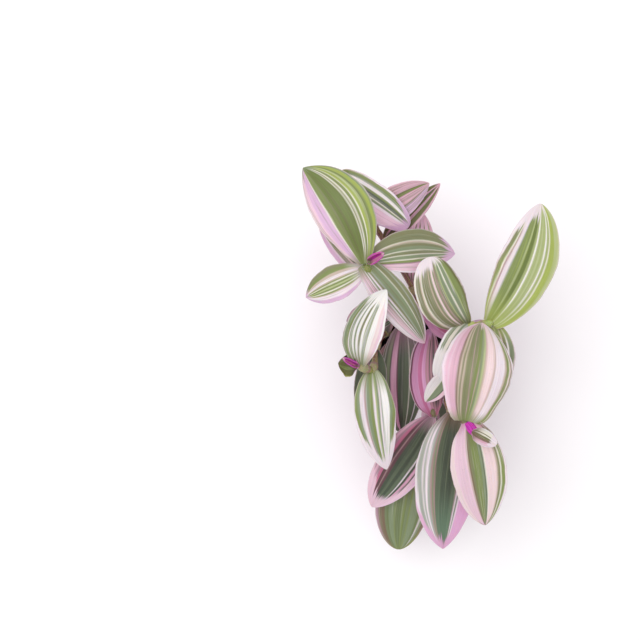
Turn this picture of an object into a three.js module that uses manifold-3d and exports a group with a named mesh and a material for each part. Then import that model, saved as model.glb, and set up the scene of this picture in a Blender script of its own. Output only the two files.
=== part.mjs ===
// A potted tradescantia: a round nursery pot, the soil in it, and seven leafy stems that stand in the soil.
// Millimetres, +Z up. The origin is the centre of the pot's underside, on the surface that it stands on.
import * as THREE from "three";
import { mergeVertices } from "three/addons/utils/BufferGeometryUtils.js";
import Module from "manifold-3d";

const wasm = await Module();
wasm.setup();

// Driving dimensions
const POT = {
  height: 62,
  baseRadius: 25,
  shoulderRadius: 33.6, // of the tapered wall, where the lip begins
  lipRadius: 36,
  lipHeight: 7,
  wall: 1.1,
  floor: 1.4,
  footChamfer: 1.2,
  sides: 36,
};
const DRAIN = { count: 6, circleRadius: 15, radius: 3.4, sides: 10 };
const SOIL = { top: 53, gap: 0.35, crumb: 1.1, sides: 28, rings: 5 };
const STEM = { radius: 2.3, sides: 8, step: 7, foot: 40 }; // foot: height of the buried end
const HOLE = { gap: 1, sides: 10 };
const SHEATH = { radius: 3.2, length: 8, lap: 1.2, sides: 6 };
const BLADE = {
  thickness: 0.8,
  across: 6, // rows of triangles across a blade and along it
  along: 10,
  narrow: 27, // width up to which a blade has the smaller numbers
  narrowAcross: 4,
  narrowAlong: 8,
  end: 0.985, // where the tip is cut blunt
};
// How the foot of a blade closes round its stem: degrees, and share of the length.
const WRAP = { angle: 50, reach: 0.08 };
const FURL = { sides: 8 };

// The leafy stems. path: the stem's axis, whose first point is where it leaves the soil.
// A leaf runs from base to tip. rise: how far its two inner control points stand off the straight line;
// sway: how far it bows to its right; roll: turn about that line; cup: half angle of its cross-section,
// edges up if positive; widest: where along the length it is widest; root: how full its foot is; point: how
// drawn-out its tip is. A furl is a new leaf, still rolled up.
const STEMS = [
  {
    name: "leafy_stem_front_right",
    path: [[14, -18], [14, -31, 70], [14, -46, 93], [23, -52, 118]],
    leaves: [
      {
        base: [22, -51, 119],
        tip: [36, 17, 101],
        width: 52,
        rise: [28, 26],
        sway: -1,
        cup: -35,
        widest: 0.46,
        root: 0.04,
        point: 0.62,
      },
      { base: [24, -52, 117], tip: [40, -130, 92], width: 39, rise: [8, 6], cup: 14, root: 0.07 },
      { base: [17, -48, 99], tip: [13, -154, 66], width: 46, rise: [13, 14], sway: 4, cup: -12 },
      { base: [24, -57, 120], tip: [42, -67, 123], width: 14, rise: [-1, -1], cup: 60, point: 0.5 },
      { base: [15, -30, 70], tip: [48, -42, 56], width: 26, rise: [6, 6], cup: 10 },
    ],
    furls: [{ base: [21, -51, 119], tip: [30, -61, 123], radius: 4 }],
  },
  {
    name: "leafy_stem_right",
    path: [[20, 5], [25, 10, 72], [26, 14, 92], [45, 17, 95]],
    leaves: [
      {
        base: [43, 17, 95],
        tip: [77, 102, 104],
        width: 41,
        rise: [8, 8],
        sway: 7,
        cup: -8,
        widest: 0.5,
        root: 0.08,
        point: 0.68,
      },
      {
        base: [25, 15, 94],
        tip: [-3, 63, 118],
        width: 35,
        rise: [12, 10],
        sway: -7,
        cup: -25,
        widest: 0.56,
        point: 0.45,
      },
      { base: [44, 16, 93], tip: [48, -37, 84], width: 32, rise: [8, 8], roll: 8, cup: -8 },
      { base: [31, 15, 94], tip: [7, -27, 91], width: 28, rise: [12, 12], sway: 2, cup: -12, point: 0.5 },
      { base: [12, -20, 93], tip: [-3, -41, 87], width: 15, rise: [3, 3], cup: 20 },
      { base: [25, 10, 72], tip: [64, 1, 62], width: 26, rise: [6, 6], cup: 10 },
      { base: [24, 9, 68], tip: [46, -38, 54], width: 22, rise: [6, 6] },
      { base: [23, 8, 68], tip: [-7, 31, 85], width: 18, rise: [5, 4], sway: -2, cup: 20 },
    ],
  },
  {
    name: "leafy_stem_front",
    path: [[2, -21], [4, -36, 69], [4, -53, 80]],
    leaves: [
      { base: [3, -52, 80], tip: [-40, -125, 54], width: 36, rise: [4, 4], cup: -8, widest: 0.5, point: 0.7 },
      {
        base: [4, -49, 77],
        tip: [-18, -162, 38],
        width: 43,
        rise: [-2, 1],
        sway: 6,
        cup: -6,
        widest: 0.6,
        point: 0.6,
      },
      { base: [4, -52, 80], tip: [4, 13, 70], width: 28, rise: [0, 1], sway: -6, cup: 45, point: 0.7 },
      { base: [4, -37, 69], tip: [12, -100, 31], width: 26, rise: [3, 4], sway: -3 },
    ],
  },
  {
    name: "leafy_stem_left",
    path: [[-26, 9], [-31, 9, 67], [-38, 0, 78], [-42, -17, 90], [-52, -14, 99]],
    leaves: [
      { base: [-42, -18, 91], tip: [-31, -91, 84], width: 30, rise: [11, 10], sway: 3, cup: -15 },
      { base: [-50, -14, 98], tip: [-34, 40, 124], width: 28, rise: [8, 12], sway: -7, cup: 30, widest: 0.5 },
      { base: [-53, -14, 100], tip: [-67, -12, 101], width: 20, rise: [-2, -2], cup: 55, point: 0.5 },
      { base: [-40, -2, 80], tip: [-46, -62, 62], width: 24, rise: [3, 4] },
      { base: [-31, 9, 68], tip: [-31, 33, 71], width: 13, rise: [3, 3] },
    ],
    furls: [{ base: [-53, -14, 101], tip: [-64, -8, 104], radius: 2 }],
  },
  {
    name: "leafy_stem_back_left",
    path: [[-12, 11], [-21, 22, 74], [-34, 40, 103], [-49, 57, 121]],
    leaves: [
      {
        base: [-50, 58, 121],
        tip: [-92, 126, 112],
        width: 42,
        rise: [14, 12],
        sway: 7,
        cup: -15,
        widest: 0.5,
      },
      { base: [-48, 59, 119], tip: [18, 67, 92], width: 31, rise: [6, 4], sway: -5, cup: -5, widest: 0.5 },
      { base: [-50, 58, 120], tip: [-4, 2, 92], width: 25, rise: [10, 10], sway: -1, cup: -8, root: 0.1 },
      { base: [-48, 55, 117], tip: [-90, 35, 106], width: 25, rise: [8, 8], cup: -10, widest: 0.5 },
      { base: [-39, 46, 109], tip: [-81, 89, 100], width: 22, rise: [5, 5] },
      { base: [-24, 26, 80], tip: [-60, 18, 66], width: 23, rise: [6, 6] },
      {
        base: [-17, 17, 67],
        tip: [-17, -68, 56],
        width: 33,
        rise: [7, 8],
        sway: 2,
        widest: 0.5,
        point: 0.7,
      },
    ],
    furls: [{ base: [-49, 57, 122], tip: [-36, 65, 129], radius: 2.2 }],
  },
  {
    name: "leafy_stem_short",
    path: [[-20, -1], [-20, 2, 58], [-21, 5, 63]],
    leaves: [
      { base: [-21, 4, 63], tip: [-37, -34, 60], width: 19, rise: [4, 5] },
      { base: [-20, 2, 61], tip: [-18, -50, 60], width: 24, rise: [6, 8], cup: -10 },
    ],
  },
  {
    name: "leafy_stem_back",
    path: [[0, 18], [-8, 38, 70], [-24, 64, 80], [-42, 90, 88], [-68, 122, 96]],
    leaves: [
      { base: [-67, 121, 97], tip: [-16, 86, 97], width: 27, rise: [8, 8], cup: -12, point: 0.45 },
      { base: [-44, 92, 90], tip: [-1, 118, 95], width: 25, rise: [5, 5], cup: -8 },
      { base: [-33, 77, 85], tip: [8, 119, 87], width: 17, rise: [5, 5], cup: 20 },
      { base: [-11, 43, 72], tip: [-5, 100, 76], width: 24, rise: [5, 5], widest: 0.55 },
    ],
  },
];

const COLOURS = {
  pot: { color: 0x2c1413, roughness: 0.45, metalness: 0 },
  soil: { color: 0x16120e, roughness: 0.95, metalness: 0 },
  leaf: { color: 0x93a06c, roughness: 0.5, metalness: 0 },
};

const vector = (p) => new THREE.Vector3(...p);
const radians = THREE.MathUtils.degToRad;

// A closed geometry as a solid, its shared vertices merged.
function solid(geometry) {
  const bare = new THREE.BufferGeometry();
  bare.setAttribute("position", geometry.getAttribute("position"));
  if (geometry.index) bare.setIndex(geometry.index);
  const merged = mergeVertices(bare, 1e-4);
  const mesh = new wasm.Mesh({
    numProp: 3,
    vertProperties: merged.getAttribute("position").array,
    triVerts: new Uint32Array(merged.index.array),
  });
  return new wasm.Manifold(mesh);
}

function geometryOf(manifold) {
  const mesh = manifold.getMesh();
  const geometry = new THREE.BufferGeometry();
  geometry.setAttribute("position", new THREE.BufferAttribute(mesh.vertProperties, 3));
  geometry.setIndex(new THREE.BufferAttribute(mesh.triVerts, 1));
  return geometry;
}

function named(name, manifold, look) {
  const geometry = geometryOf(manifold);
  geometry.computeVertexNormals();
  const mesh = new THREE.Mesh(geometry, new THREE.MeshStandardMaterial(COLOURS[look]));
  mesh.name = name;
  return mesh;
}

// A profile of [radius, height] pairs turned about +Z.
function turned(profile, sides) {
  const points = profile.map(([radius, height]) => new THREE.Vector2(radius, height));
  return new THREE.LatheGeometry(points, sides).rotateX(Math.PI / 2);
}

function uprightCylinder(x, y, from, to, radius, sides) {
  const cylinder = new THREE.CylinderGeometry(radius, radius, to - from, sides);
  return solid(cylinder.rotateX(Math.PI / 2).translate(x, y, (from + to) / 2));
}

// A round bar along a curve.
function bar(curve, radius, sides, steps) {
  const section = new THREE.Shape();
  for (let i = 0; i < sides; i++) {
    const angle = (2 * Math.PI * i) / sides;
    const [x, y] = [radius * Math.cos(angle), radius * Math.sin(angle)];
    if (i === 0) section.moveTo(x, y);
    else section.lineTo(x, y);
  }
  return solid(new THREE.ExtrudeGeometry(section, { steps, extrudePath: curve, bevelEnabled: false }));
}

// Half-width of a blade at v along its length, as a share of its greatest half-width.
function outline(v, widest, root, point) {
  const swell = (point * (widest + root)) / (1 - widest);
  return ((1 - v) / (1 - widest)) ** point * ((v + root) / (widest + root)) ** swell;
}

// The midrib of a leaf, as a curve, with the direction to the blade's right.
function midrib(leaf) {
  const base = vector(leaf.base);
  const tip = vector(leaf.tip);
  const line = tip.clone().sub(base);
  const ahead = line.clone().normalize();
  const level = new THREE.Vector3().crossVectors(ahead, new THREE.Vector3(0, 0, 1)).normalize();
  const right = level.applyAxisAngle(ahead, radians(leaf.roll ?? 0));
  const up = new THREE.Vector3().crossVectors(right, ahead);
  const inner = (share, rise) =>
    base
      .clone()
      .addScaledVector(line, share)
      .addScaledVector(up, rise)
      .addScaledVector(right, (leaf.sway ?? 0) * 1.33);
  const [first, second] = leaf.rise;
  const curve = new THREE.CubicBezierCurve3(base, inner(0.33, first), inner(0.67, second), tip);
  return { curve, right };
}

// A point of a blade: u runs from -1 to 1 across it, v from 0 to 1 along it, and off is the height above
// its middle.
function bladePoint(leaf, rib, u, v, off) {
  const { widest = 0.42, root = 0.03, point = 0.8, cup = 8 } = leaf;
  const along = rib.curve.getTangent(v);
  const right = rib.right.clone().addScaledVector(along, -rib.right.dot(along)).normalize();
  const up = new THREE.Vector3().crossVectors(right, along);
  const half = 0.5 * leaf.width * outline(v, widest, root, point);
  const bend = radians(cup + WRAP.angle * Math.exp(-((v / WRAP.reach) ** 2))) + 1e-4;
  const across = (half * Math.sin(bend * u)) / bend;
  const lift = (half * (1 - Math.cos(bend * u))) / bend;
  const fold = 0.1 * half * (Math.sqrt(u * u + 0.02) - Math.sqrt(0.02));
  return rib.curve
    .getPoint(v)
    .addScaledVector(right, across - off * Math.sin(bend * u))
    .addScaledVector(up, lift + fold + off * Math.cos(bend * u));
}

// A blade of even thickness. Both faces are split into the same triangles.
function blade(leaf) {
  const rib = midrib(leaf);
  const { thickness, narrow, end } = BLADE;
  const [across, along] =
    leaf.width > narrow ? [BLADE.across, BLADE.along] : [BLADE.narrowAcross, BLADE.narrowAlong];
  const positions = [];
  for (const off of [thickness / 2, -thickness / 2])
    for (let j = 0; j <= along; j++)
      for (let i = 0; i <= across; i++)
        positions.push(...bladePoint(leaf, rib, -1 + (2 * i) / across, (end * j) / along, off));
  const row = across + 1;
  const face = row * (along + 1);
  const index = [];
  const quad = (a, b, c, d) => index.push(a, b, c, a, c, d);
  for (let j = 0; j < along; j++)
    for (let i = 0; i < across; i++) {
      const corner = j * row + i;
      quad(corner, corner + 1, corner + row + 1, corner + row);
      const under = corner + face;
      index.push(under, under + row + 1, under + 1, under, under + row, under + row + 1);
    }
  const rim = [];
  for (let i = 0; i < across; i++) rim.push(i);
  for (let j = 0; j < along; j++) rim.push(j * row + across);
  for (let i = across; i > 0; i--) rim.push(along * row + i);
  for (let j = along; j > 0; j--) rim.push(j * row);
  rim.forEach((a, n) => {
    const b = rim[(n + 1) % rim.length];
    quad(a, a + face, b + face, b);
  });
  const geometry = new THREE.BufferGeometry();
  geometry.setAttribute("position", new THREE.Float32BufferAttribute(positions, 3));
  geometry.setIndex(index);
  return solid(geometry);
}

// A leaf that is still rolled up: a spindle from base to tip.
function furl({ base, tip, radius }) {
  const from = vector(base);
  const direction = vector(tip).sub(from);
  const length = direction.length();
  const profile = [
    [0, 0],
    [0.7 * radius, 0.02 * length],
    [radius, 0.35 * length],
    [0.75 * radius, 0.7 * length],
    [0, length],
  ];
  const turn = new THREE.Quaternion().setFromUnitVectors(new THREE.Vector3(0, 0, 1), direction.normalize());
  return solid(turned(profile, FURL.sides).applyQuaternion(turn).translate(...base));
}

function stemAxis({ path }) {
  const [[x, y], ...rest] = path;
  const points = [[x, y, STEM.foot], [x, y, SOIL.top - 4], [x, y, SOIL.top + 3], ...rest];
  return new THREE.CatmullRomCurve3(points.map(vector), false, "centripetal");
}

// The sheath of a leaf, round the stretch of stem below its base.
function sheath(axis, length, base) {
  const samples = Math.ceil(length);
  let nearest = 0;
  for (let i = 1; i <= samples; i++) {
    const gap = axis.getPointAt(i / samples).distanceTo(base);
    if (gap < axis.getPointAt(nearest / samples).distanceTo(base)) nearest = i;
  }
  const to = Math.min(nearest + SHEATH.lap, length);
  const from = Math.max(to - SHEATH.length, SOIL.top + 2 - STEM.foot);
  const ends = [from, (from + to) / 2, to].map((at) => axis.getPointAt(at / length));
  return bar(new THREE.CatmullRomCurve3(ends), SHEATH.radius, SHEATH.sides, 2);
}

function leafyStem(stem) {
  const axis = stemAxis(stem);
  const length = axis.getLength();
  let body = bar(axis, STEM.radius, STEM.sides, Math.ceil(length / STEM.step));
  for (const leaf of stem.leaves) {
    body = body.add(sheath(axis, length, vector(leaf.base)));
    body = body.add(blade(leaf));
  }
  for (const bud of stem.furls ?? []) body = body.add(furl(bud));
  return body;
}

function pot() {
  const { height, baseRadius, shoulderRadius, lipRadius, lipHeight, wall, floor, footChamfer, sides } = POT;
  const shoulder = height - lipHeight;
  const profile = [
    [0, 0],
    [baseRadius - footChamfer, 0],
    [baseRadius, footChamfer],
    [shoulderRadius, shoulder],
    [lipRadius - 0.3, shoulder],
    [lipRadius, shoulder + 0.5],
    [lipRadius, height - 0.6],
    [lipRadius - 0.5, height],
    [lipRadius - 1.2, height],
    [lipRadius - 1.8, height - 0.8],
    [shoulderRadius - wall, shoulder - 0.5],
    [baseRadius - wall, floor],
    [0, floor],
  ];
  let body = solid(turned(profile, sides));
  for (let i = 0; i < DRAIN.count; i++) {
    const angle = (2 * Math.PI * (i + 0.5)) / DRAIN.count;
    const [x, y] = [DRAIN.circleRadius * Math.cos(angle), DRAIN.circleRadius * Math.sin(angle)];
    body = body.subtract(uprightCylinder(x, y, -1, floor + 1, DRAIN.radius, DRAIN.sides));
  }
  return body;
}

// The soil fills the pot. Its top is uneven, by a formula, as crumbs of potting mix are.
function soil() {
  const { wall, floor, height, lipHeight, baseRadius, shoulderRadius } = POT;
  const bottom = floor + SOIL.gap;
  const taper = (shoulderRadius - baseRadius) / (height - lipHeight - floor);
  const bottomRadius = baseRadius - wall - 2 * SOIL.gap;
  const topRadius = bottomRadius + taper * (SOIL.top - bottom);
  const profile = [
    [0, bottom],
    [bottomRadius, bottom],
    [topRadius, SOIL.top - SOIL.crumb],
  ];
  for (let ring = 1; ring <= SOIL.rings; ring++) {
    const radius = topRadius * (1 - ring / SOIL.rings);
    profile.push([radius, SOIL.top]);
  }
  const geometry = turned(profile, SOIL.sides);
  const position = geometry.getAttribute("position");
  for (let i = 0; i < position.count; i++) {
    const [x, y, z] = [position.getX(i), position.getY(i), position.getZ(i)];
    const bump = Math.sin(0.9 * x + 1.3 * y) + Math.sin(1.7 * y - 0.6 * x) + Math.cos(2.3 * x + 0.4 * y);
    if (z > SOIL.top - 0.5 * SOIL.crumb) position.setZ(i, z + (SOIL.crumb * bump) / 3);
  }
  let body = solid(geometry);
  for (const { path } of STEMS) {
    const [[x, y]] = path;
    const from = STEM.foot - HOLE.gap;
    body = body.subtract(uprightCylinder(x, y, from, SOIL.top + 5, STEM.radius + HOLE.gap, HOLE.sides));
  }
  return body;
}

const plant = new THREE.Group();
plant.add(named("pot", pot(), "pot"));
plant.add(named("soil", soil(), "soil"));
for (const stem of STEMS) plant.add(named(stem.name, leafyStem(stem), "leaf"));

export default plant;
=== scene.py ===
import random
from math import ceil, cos, hypot, pi, radians, sin, sqrt

import bmesh
import bpy
import numpy as np
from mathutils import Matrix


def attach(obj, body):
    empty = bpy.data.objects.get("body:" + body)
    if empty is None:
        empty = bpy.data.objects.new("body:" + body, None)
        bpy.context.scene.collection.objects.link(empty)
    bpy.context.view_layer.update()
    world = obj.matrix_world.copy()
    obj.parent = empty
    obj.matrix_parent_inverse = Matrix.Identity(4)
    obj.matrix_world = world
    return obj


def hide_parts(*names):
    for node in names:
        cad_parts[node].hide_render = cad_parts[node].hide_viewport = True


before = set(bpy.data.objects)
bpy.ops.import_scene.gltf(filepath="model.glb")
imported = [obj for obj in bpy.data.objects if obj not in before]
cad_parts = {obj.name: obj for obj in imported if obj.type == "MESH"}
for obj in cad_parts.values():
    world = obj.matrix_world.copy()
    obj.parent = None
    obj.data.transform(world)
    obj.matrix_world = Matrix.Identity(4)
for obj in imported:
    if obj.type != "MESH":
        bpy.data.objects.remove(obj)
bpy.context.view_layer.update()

MM = 0.001
ROOT = "root"

# -------- driving values, millimetres
POT = {"height": 62, "base": 25, "shoulder": 33.6, "lip": 36, "lip_height": 7, "wall": 1.1, "floor": 1.4}
DRAIN = {"count": 6, "circle": 15, "radius": 3.4}
SOIL_TOP = 53
SOIL_GAP = 0.35
STEM_RADIUS = 2.3
STEM_FOOT = 40
STEM_STEP = 1.2
TUBE_SIDES = 20
SHEATH = {"radius": 3.1, "length": 8, "lap": 1.2, "hairs": 46, "hair_length": 1.5, "hair_radius": 0.055}
BLADE = {"columns": 44, "rows": 72, "middle": 0.7, "edge": 0.2, "end": 0.998}
WRAP = {"angle": 50, "reach": 0.08}
# Crumbs on the soil: fineness of the ball, how many, least and most size, and slot of the material.
CRUMBS = [(1, 900, 0.25, 0.6, 0), (2, 170, 0.6, 1.25, 0), (2, 70, 0.6, 1.3, 1), (1, 70, 0.2, 0.45, 2)]

# The photograph's camera, 640 pixels wide: straight down from over (x, y), with a focal length in pixels.
CAMERA = {"x": -80, "y": 19, "z": 720, "focal": 865, "picture": 640}
# The stage, in metres.
FLOOR = {"half": 3.0, "z": -0.0003}
WINDOW = {"place": (-0.5, 0.35, 1.25), "width": 1.3, "depth": 1.0, "watts": 8}

COLOURS = dict(
    white="#EEEBEA", pale="#E8DCE4", cream="#E5E2D4", pink="#E5C5D5", blush="#E9D2D5",
    rosy="#D7A5BC", dusty="#D5ABBD", orchid="#DCA8CE", lilac="#D3B0D0", hot="#CF7FA8",
    magenta="#B51C9E", mauve="#AA8896", rose="#C0708F", greyed="#AD8C8C", leaf="#7E8C50",
    meadow="#A1AC72", grass="#697839", lime="#A0AE55", sage="#82906F",
    moss="#7F815C", fern="#6C7A4C", spring="#B0BA88", mist="#A4A9A0", tan="#C4B2A4",
    deep="#5A6850", dark="#434F3D", teal="#658268", olive="#6A6D3E", brown="#7C6652",
    plum="#633B45",
)

# The stems' axes, as in the part's source. A stem leaves the soil at its first point.
PATHS = {
    "front_right": [(14, -18), (14, -31, 70), (14, -46, 93), (23, -52, 118)],
    "right": [(20, 5), (25, 10, 72), (26, 14, 92), (45, 17, 95)],
    "front": [(2, -21), (4, -36, 69), (4, -53, 80)],
    "left": [(-26, 9), (-31, 9, 67), (-38, 0, 78), (-42, -17, 90), (-52, -14, 99)],
    "back_left": [(-12, 11), (-21, 22, 74), (-34, 40, 103), (-49, 57, 121)],
    "short": [(-20, -1), (-20, 2, 58), (-21, 5, 63)],
    "back": [(0, 18), (-8, 38, 70), (-24, 64, 80), (-42, 90, 88), (-68, 122, 96)],
}
FRESH = ("right", "back_left")  # the stems whose sheaths are still green

# What most leaves have in common. Colours are names from COLOURS.
USUAL = dict(
    sway=0, roll=0, cup=8, widest=0.42, root=0.03, point=0.8,  # as in the part's source, like rise
    wave=0.45,  # how wavy the margin is
    rolled=False,  # whether the back is pale pink, as on a leaf that has just unrolled
    spread=0.15,  # how much nearer the middle the stripes lie at the tip than at the foot
    specks=0.15,  # how strong the grey-green dots are
    ground=("deep", 0.15),  # the colour that breaks through in streaks, and how much of it
    lit=0.4,  # how strong the pale streaks are
    horns=0.0,  # how much sooner the end's colour begins at both edges
    slant=0.0,  # how much sooner it begins at the left edge than at the right
    far=None,  # a colour that lightens the far half, and how strongly
    foot=("deep", 0.2),  # the colour of the foot, and how far it reaches
)
# Leaves run from base to tip. stripes: colours from the face's left edge to its right edge, tip up, each with
# the share of the width that it ends at. end: the colour of the far end, and where along the leaf it begins.
LEAVES = {}
LEAVES["front_right"] = dict(
    arched=dict(
        base=(22, -51, 119), tip=(36, 17, 101), width=52, rise=(28, 26), sway=-1, cup=-35, widest=0.46,
        root=0.04, point=0.62, spread=0.1, specks=0.3,
        stripes="""pale .04 pink .12 dusty .22 brown .25 tan .28 moss .295 tan .325 moss .45 leaf .5 sage .53
        spring .56 tan .59 blush .68 tan .705 pale .85 tan .875 leaf .92 cream .935 moss .97 pale 1""",
        ground=("rosy", 0.14), lit=0.25, end=("pink", 0.95), horns=0.03, foot=("leaf", 0.1)),
    pink=dict(
        base=(24, -52, 117), tip=(40, -130, 92), width=39, rise=(8, 6), cup=14, root=0.07, spread=0.15,
        specks=0.35,
        stripes="""pale .03 leaf .09 cream .11 moss .15 tan .18 blush .35 cream .37 deep .39 sage .44
        leaf .57 moss .62 brown .64 tan .67 pink .9 blush 1""",
        ground=("pale", 0.12), lit=0.25, end=("mauve", 0.985), foot=("rosy", 0.08)),
    long=dict(
        base=(17, -48, 99), tip=(13, -154, 66), width=46, rise=(13, 14), sway=4, cup=-12, spread=0.35,
        stripes="""orchid .25 pale .28 deep .3 pale .32 mauve .335 deep .42 dark .5 dark .6 deep .68
        greyed .7 sage .73 greyed .755 mist .79 pale .83 mist .86 pale .88 mist .95 pale 1""",
        ground=("sage", 0.14), lit=0.2, end=("orchid", 0.9), horns=0.35, far=("teal", 0.7),
        foot=("brown", 0.14)),
    young=dict(
        base=(25.5, -58, 120.5), tip=(42, -67, 123), width=14, rise=(-1, -1), cup=60, point=0.5, wave=0.1,
        rolled=True,
        stripes="white .08 cream .3 olive .36 cream .44 olive .56 brown .7 rosy .8 pink .94 pale 1",
        ground=("cream", 0.1), end=("pale", 0.72), foot=("brown", 0.45)),
    low=dict(
        base=(15, -30, 70), tip=(48, -42, 56), width=26, rise=(6, 6), cup=10,
        stripes="pink .2 deep .45 mauve .55 deep .8 pink 1",
        end=("hot", 0.9)),
)
LEAVES["right"] = dict(
    lime=dict(
        base=(43, 17, 95), tip=(77, 102, 104), width=41, rise=(8, 8), sway=7, cup=-8, widest=0.5, root=0.08,
        point=0.68, wave=0.9, spread=0.35,
        stripes="""pale .03 moss .08 leaf .11 cream .14 greyed .17 pale .24 mist .26 leaf .39 spring .42
        grass .5 meadow .545 white .575 meadow .63 spring .655 meadow .71 white .74 meadow .785 cream .81
        lime .91 spring 1""",
        ground=("lime", 0.16), lit=0.3, end=("pale", 0.9), slant=0.35, foot=("lime", 0.3)),
    drooping=dict(
        base=(25, 15, 94), tip=(-3, 63, 118), width=35, rise=(12, 10), sway=-7, cup=-25, widest=0.56,
        point=0.45, spread=0.2,
        stripes="""cream .03 moss .12 tan .15 cream .18 moss .34 tan .365 moss .42 blush .46 moss .5
        greyed .53 moss .58 spring .61 sage .68 cream .71 sage .79 spring .82 leaf .93 olive 1""",
        ground=("pale", 0.15), end=("pale", 0.88), slant=0.22, foot=("olive", 0.22)),
    behind=dict(
        base=(44, 16, 93), tip=(48, -37, 84), width=32, rise=(8, 8), roll=8, cup=-8,
        stripes="pale .04 sage .14 white .18 moss .26 blush .3 sage .4 cream .43 sage .6 pink .75 sage 1",
        ground=("sage", 0.2), end=("pink", 0.9), foot=("lime", 0.3)),
    curled=dict(
        base=(31, 15, 94), tip=(7, -27, 91), width=28, rise=(12, 12), sway=2, cup=-12, point=0.5,
        stripes="""pale .2 sage .3 cream .37 sage .5 white .6 sage .64 white .72 sage .78 cream .86 sage .95
        white 1""",
        ground=("white", 0.2), end=("white", 0.5), foot=("sage", 0.25)),
    curled_tip=dict(
        base=(12, -20, 93), tip=(-3, -41, 87), width=15, rise=(3, 3), cup=20,
        stripes="pink .17 deep .22 sage .5 cream .55 white 1",
        ground=("sage", 0.12), end=("pink", 0.95), foot=("white", 0.3)),
    low_1=dict(
        base=(25, 10, 72), tip=(64, 1, 62), width=26, rise=(6, 6), cup=10,
        stripes="lilac .2 deep .4 cream .45 deep .75 pink 1",
        end=("lilac", 0.85)),
    low_2=dict(
        base=(24, 9, 68), tip=(46, -38, 54), width=22, rise=(6, 6),
        stripes="pink .25 sage .4 deep .7 pink 1",
        end=("hot", 0.85)),
    low_3=dict(
        base=(23, 8, 68), tip=(-7, 31, 85), width=18, rise=(5, 4), sway=-2, cup=20,
        stripes="orchid .3 rose .5 hot .75 orchid 1",
        ground=("rose", 0.3), end=("orchid", 0.8), foot=("rosy", 0.2)),
)
LEAVES["front"] = dict(
    left=dict(
        base=(3, -52, 80), tip=(-40, -125, 54), width=36, rise=(4, 4), cup=-8, widest=0.5, point=0.7,
        spread=0.2,
        stripes="""orchid .05 pink .13 dark .16 rosy .22 dark .27 pale .29 deep .38 dark .46 deep .54
        dark .62 plum .68 greyed .71 plum .78 rose .84 mauve .9 dusty .95 mauve 1""",
        ground=("dark", 0.15), lit=0.15, end=("pink", 0.84), horns=0.3, foot=("mauve", 0.2)),
    middle=dict(
        base=(4, -49, 77), tip=(-18, -162, 38), width=43, rise=(-2, 1), sway=6, cup=-6, widest=0.6,
        point=0.6,
        stripes="""brown .05 sage .1 pale .13 fern .2 sage .34 leaf .37 fern .45 leaf .5 fern .62 leaf .65
        sage .75 fern .83 brown .95 mauve 1""",
        ground=("sage", 0.25), lit=0.3, end=("leaf", 0.98), horns=0.1, foot=("dark", 0.3)),
    boat=dict(
        base=(4, -52, 80), tip=(4, 13, 70), width=28, rise=(0, 1), sway=-6, cup=45, point=0.7,
        stripes="""pale .02 plum .09 orchid .3 hot .42 orchid .52 greyed .62 dark .66 greyed .7 dark .85
        greyed .93 plum 1""",
        ground=("hot", 0.25), end=("orchid", 0.9), foot=("rose", 0.15)),
    low=dict(
        base=(4, -37, 69), tip=(12, -100, 31), width=26, rise=(3, 4), sway=-3,
        stripes="pink .15 deep .4 mauve .48 deep .8 pink 1",
        end=("mauve", 0.9)),
)
LEAVES["left"] = dict(
    hanging=dict(
        base=(-42, -18, 91), tip=(-31, -91, 84), width=30, rise=(11, 10), sway=3, cup=-15, spread=0.4,
        stripes="""lilac .02 leaf .1 sage .16 white .32 mist .34 pale .38 sage .43 spring .47 pale .52
        leaf .6 sage .66 mist .69 greyed .72 pale .82 sage .88 leaf .96 pale 1""",
        ground=("sage", 0.16), end=("pale", 0.86), horns=0.45, slant=-0.1, foot=("leaf", 0.25)),
    white=dict(
        base=(-50, -14, 98), tip=(-34, 40, 124), width=28, rise=(8, 12), sway=-7, cup=30, widest=0.5,
        spread=0.2,
        stripes="""sage .1 leaf .16 pale .19 sage .26 white .31 sage .35 white .42 moss .47 white .54
        leaf .57 mist .62 leaf .65 white .78 blush .88 pink .95 white 1""",
        ground=("white", 0.18), end=("white", 0.82), foot=("leaf", 0.3)),
    cup=dict(
        base=(-53, -14, 100), tip=(-67, -12, 101), width=20, rise=(-2, -2), cup=55, point=0.5,
        stripes="lime .06 olive .3 leaf .42 olive .6 leaf .8 olive .94 lime 1",
        ground=("olive", 0.25), end=("olive", 0.9), foot=("dark", 0.35)),
    low_1=dict(
        base=(-40, -2, 80), tip=(-46, -62, 62), width=24, rise=(3, 4),
        stripes="deep .3 mauve .36 deep .6 mauve .66 deep 1",
        end=("mauve", 0.9)),
    low_2=dict(
        base=(-31, 9, 68), tip=(-31, 33, 71), width=13, rise=(3, 3),
        stripes="greyed .2 deep .4 mauve .5 deep .8 greyed 1",
        ground=("mauve", 0.3), end=("mauve", 0.85)),
)
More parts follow.
